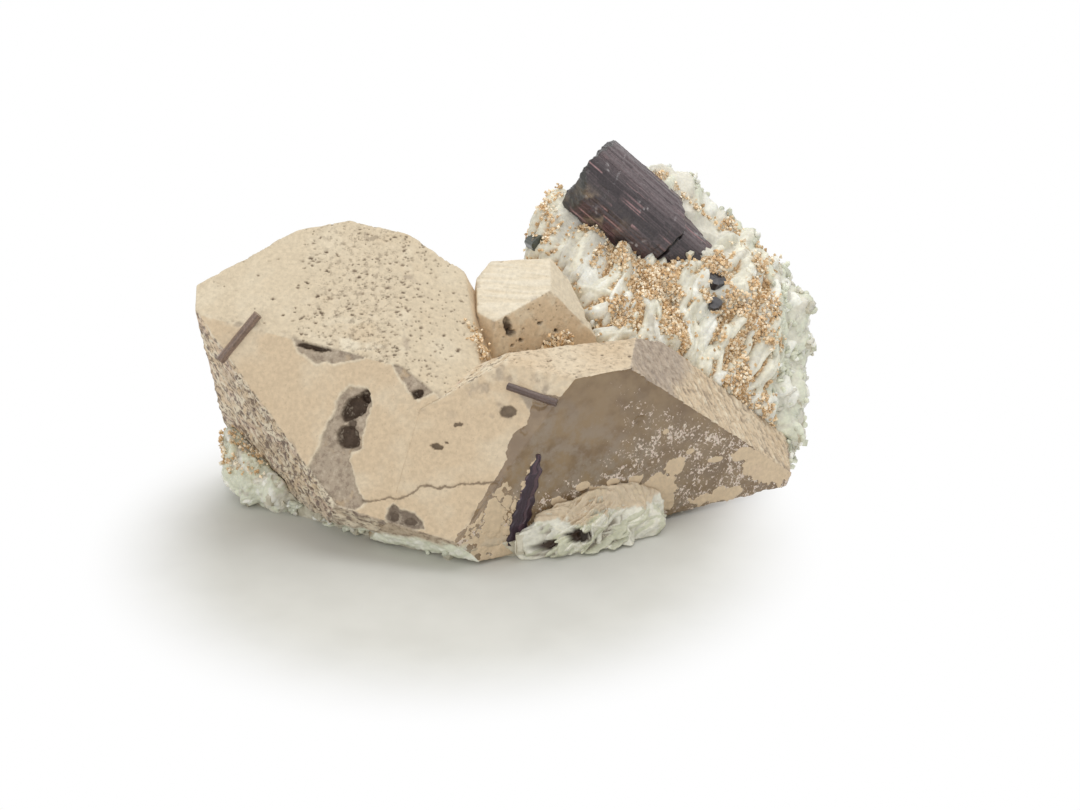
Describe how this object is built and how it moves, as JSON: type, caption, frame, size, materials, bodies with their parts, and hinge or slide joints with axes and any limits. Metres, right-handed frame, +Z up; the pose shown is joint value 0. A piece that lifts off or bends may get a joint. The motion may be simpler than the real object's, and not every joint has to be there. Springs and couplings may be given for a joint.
{
  "type": "tourmalinated quartz crystal",
  "caption": "Intergrown smoky quartz crystals with tourmaline prisms on a bladed albite matrix; a cabinet mineral specimen that stands on its broken base",
  "frame": {"origin": "centre of the footprint of the whole specimen, on the plane it stands on", "axes": "+X to the right along the longest side of the specimen, +Y away from the side with the long chipped quartz face, +Z up"},
  "size_m": [0.1511, 0.1035, 0.0795],
  "materials": {
    "quartz": "dull beige etched coating over smoky translucent quartz",
    "albite": "pearly white to pale green blades with tan crystal dust between",
    "tourmaline": "dark purple-brown, striated, glassy with dull broken end",
    "black_tourmaline": "black, glassy, striated",
    "green_tourmaline": "dark green-grey, dull",
    "brown_tourmaline": "brown translucent rod under a thin dust"
  },
  "bodies": {
    "root": {"quartz_cluster": "quartz", "albite_matrix": "albite", "tourmaline_crystal": "tourmaline", "tourmaline_black_upper": "black_tourmaline", "tourmaline_black_lower": "black_tourmaline", "tourmaline_green": "green_tourmaline", "tourmaline_left_rod": "brown_tourmaline", "tourmaline_right_rod": "brown_tourmaline", "tourmaline_sliver": "black_tourmaline"}
  },
  "joints": []
}
